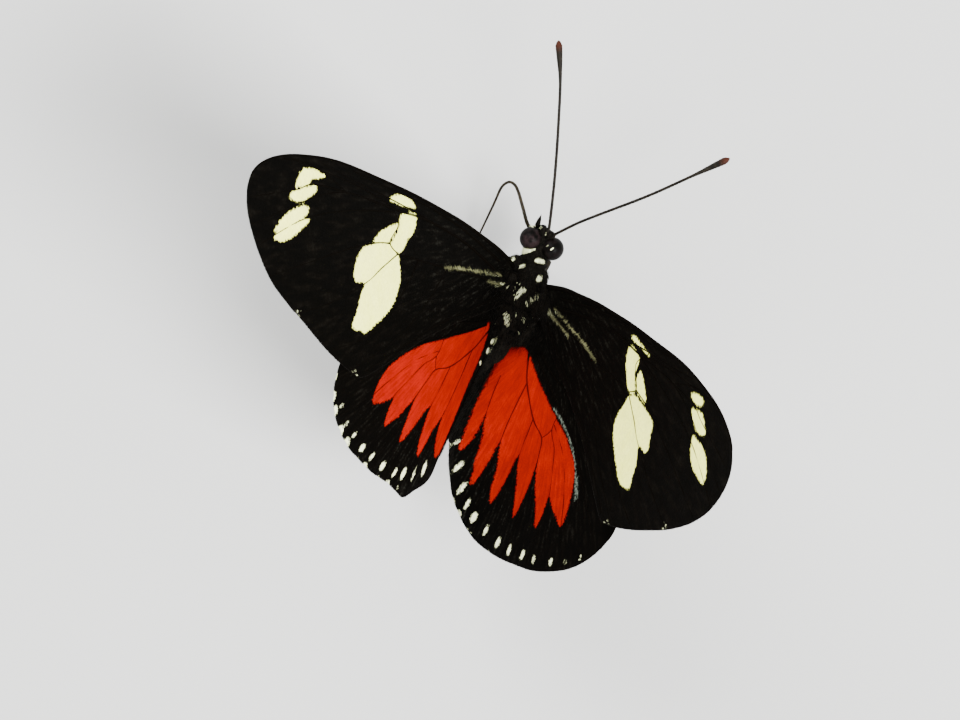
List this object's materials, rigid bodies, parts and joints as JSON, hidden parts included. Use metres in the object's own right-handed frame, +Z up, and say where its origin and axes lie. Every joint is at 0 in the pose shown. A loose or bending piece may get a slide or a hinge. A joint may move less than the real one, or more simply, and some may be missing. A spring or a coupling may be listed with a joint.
{
  "type": "butterfly",
  "caption": "Life-size black butterfly with pale bands on its forewings and red rays on its hindwings, standing still on its feet with the wings raised in a V.",
  "frame": {"origin": "middle of the bounding box, on the floor that the feet stand on", "axes": "+Z up, -Y forward along the body, +X towards the insect's left"},
  "size_m": [0.0504, 0.0486, 0.048],
  "materials": {
    "body_scales": "velvety dark scales and hair",
    "wing": "fine overlapping scales, black-brown with cream and red marks",
    "eye": "glossy, finely faceted",
    "antenna": "satin, ringed, with a reddish-brown tip",
    "leg": "satin scales",
    "proboscis": "satin"
  },
  "bodies": {
    "root": {"head": "body_scales", "thorax": "body_scales", "abdomen": "body_scales", "eye_left": "eye", "eye_right": "eye", "palp_left": "body_scales", "palp_right": "body_scales", "proboscis": "proboscis", "antenna_left": "antenna", "antenna_right": "antenna", "forewing_left": "wing", "forewing_right": "wing", "hindwing_left": "wing", "hindwing_right": "wing", "foreleg_left": "leg", "foreleg_right": "leg", "midleg_left": "leg", "midleg_right": "leg", "hindleg_left": "leg", "hindleg_right": "leg"}
  },
  "joints": []
}
